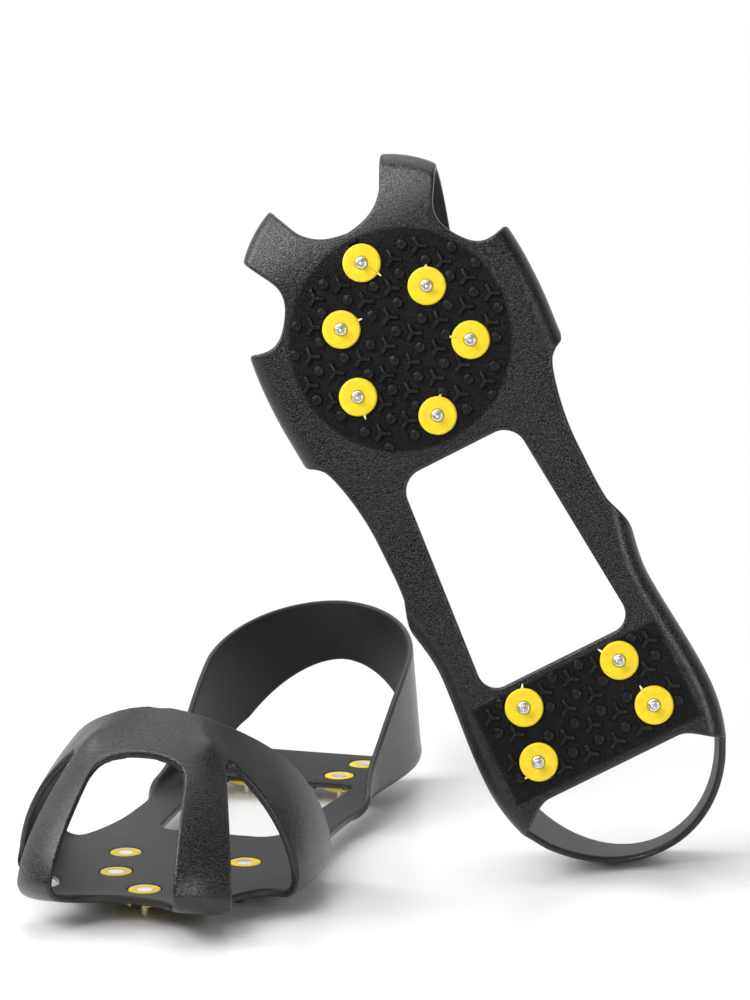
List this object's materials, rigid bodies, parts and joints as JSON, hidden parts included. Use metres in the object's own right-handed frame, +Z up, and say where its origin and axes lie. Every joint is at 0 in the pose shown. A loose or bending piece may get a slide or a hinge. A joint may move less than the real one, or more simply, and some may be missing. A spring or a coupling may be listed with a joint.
{
  "type": "slip-on ice cleats",
  "caption": "Pair of stretch rubber overshoe frames with toe hood, heel strap and steel-tipped studs in yellow collars, pulled over shoes for grip on ice and snow.",
  "frame": {"origin": "top face of the standing cleat's forefoot bed, under the shoe, in the middle of its ring of studs", "axes": "+Z up, -Y towards the toe of the standing cleat, X across it"},
  "size_m": [0.2519, 0.2878, 0.2711],
  "materials": {
    "rubber": "satin, fine leathery moulding grain",
    "collar_nylon": "moulded yellow nylon, satin gloss",
    "stud_steel": "bright zinc-plated steel"
  },
  "bodies": {
    "standing_cleat": {"standing_frame": "rubber", "standing_tread": "rubber", "standing_collar_1": "collar_nylon", "standing_collar_2": "collar_nylon", "standing_collar_3": "collar_nylon", "standing_collar_4": "collar_nylon", "standing_collar_5": "collar_nylon", "standing_collar_6": "collar_nylon", "standing_collar_7": "collar_nylon", "standing_collar_8": "collar_nylon", "standing_collar_9": "collar_nylon", "standing_collar_10": "collar_nylon", "standing_stud_1": "stud_steel", "standing_stud_2": "stud_steel", "standing_stud_3": "stud_steel", "standing_stud_4": "stud_steel", "standing_stud_5": "stud_steel", "standing_stud_6": "stud_steel", "standing_stud_7": "stud_steel", "standing_stud_8": "stud_steel", "standing_stud_9": "stud_steel", "standing_stud_10": "stud_steel"},
    "leaning_cleat": {"leaning_frame": "rubber", "leaning_tread": "rubber", "leaning_collar_1": "collar_nylon", "leaning_collar_2": "collar_nylon", "leaning_collar_3": "collar_nylon", "leaning_collar_4": "collar_nylon", "leaning_collar_5": "collar_nylon", "leaning_collar_6": "collar_nylon", "leaning_collar_7": "collar_nylon", "leaning_collar_8": "collar_nylon", "leaning_collar_9": "collar_nylon", "leaning_collar_10": "collar_nylon", "leaning_stud_1": "stud_steel", "leaning_stud_2": "stud_steel", "leaning_stud_3": "stud_steel", "leaning_stud_4": "stud_steel", "leaning_stud_5": "stud_steel", "leaning_stud_6": "stud_steel", "leaning_stud_7": "stud_steel", "leaning_stud_8": "stud_steel", "leaning_stud_9": "stud_steel", "leaning_stud_10": "stud_steel"}
  },
  "joints": [
    {"name": "mate_lift", "type": "slide", "parent": "standing_cleat", "child": "leaning_cleat", "axis": [0, 0, 1], "range_m": [0, 0.12]}
  ]
}
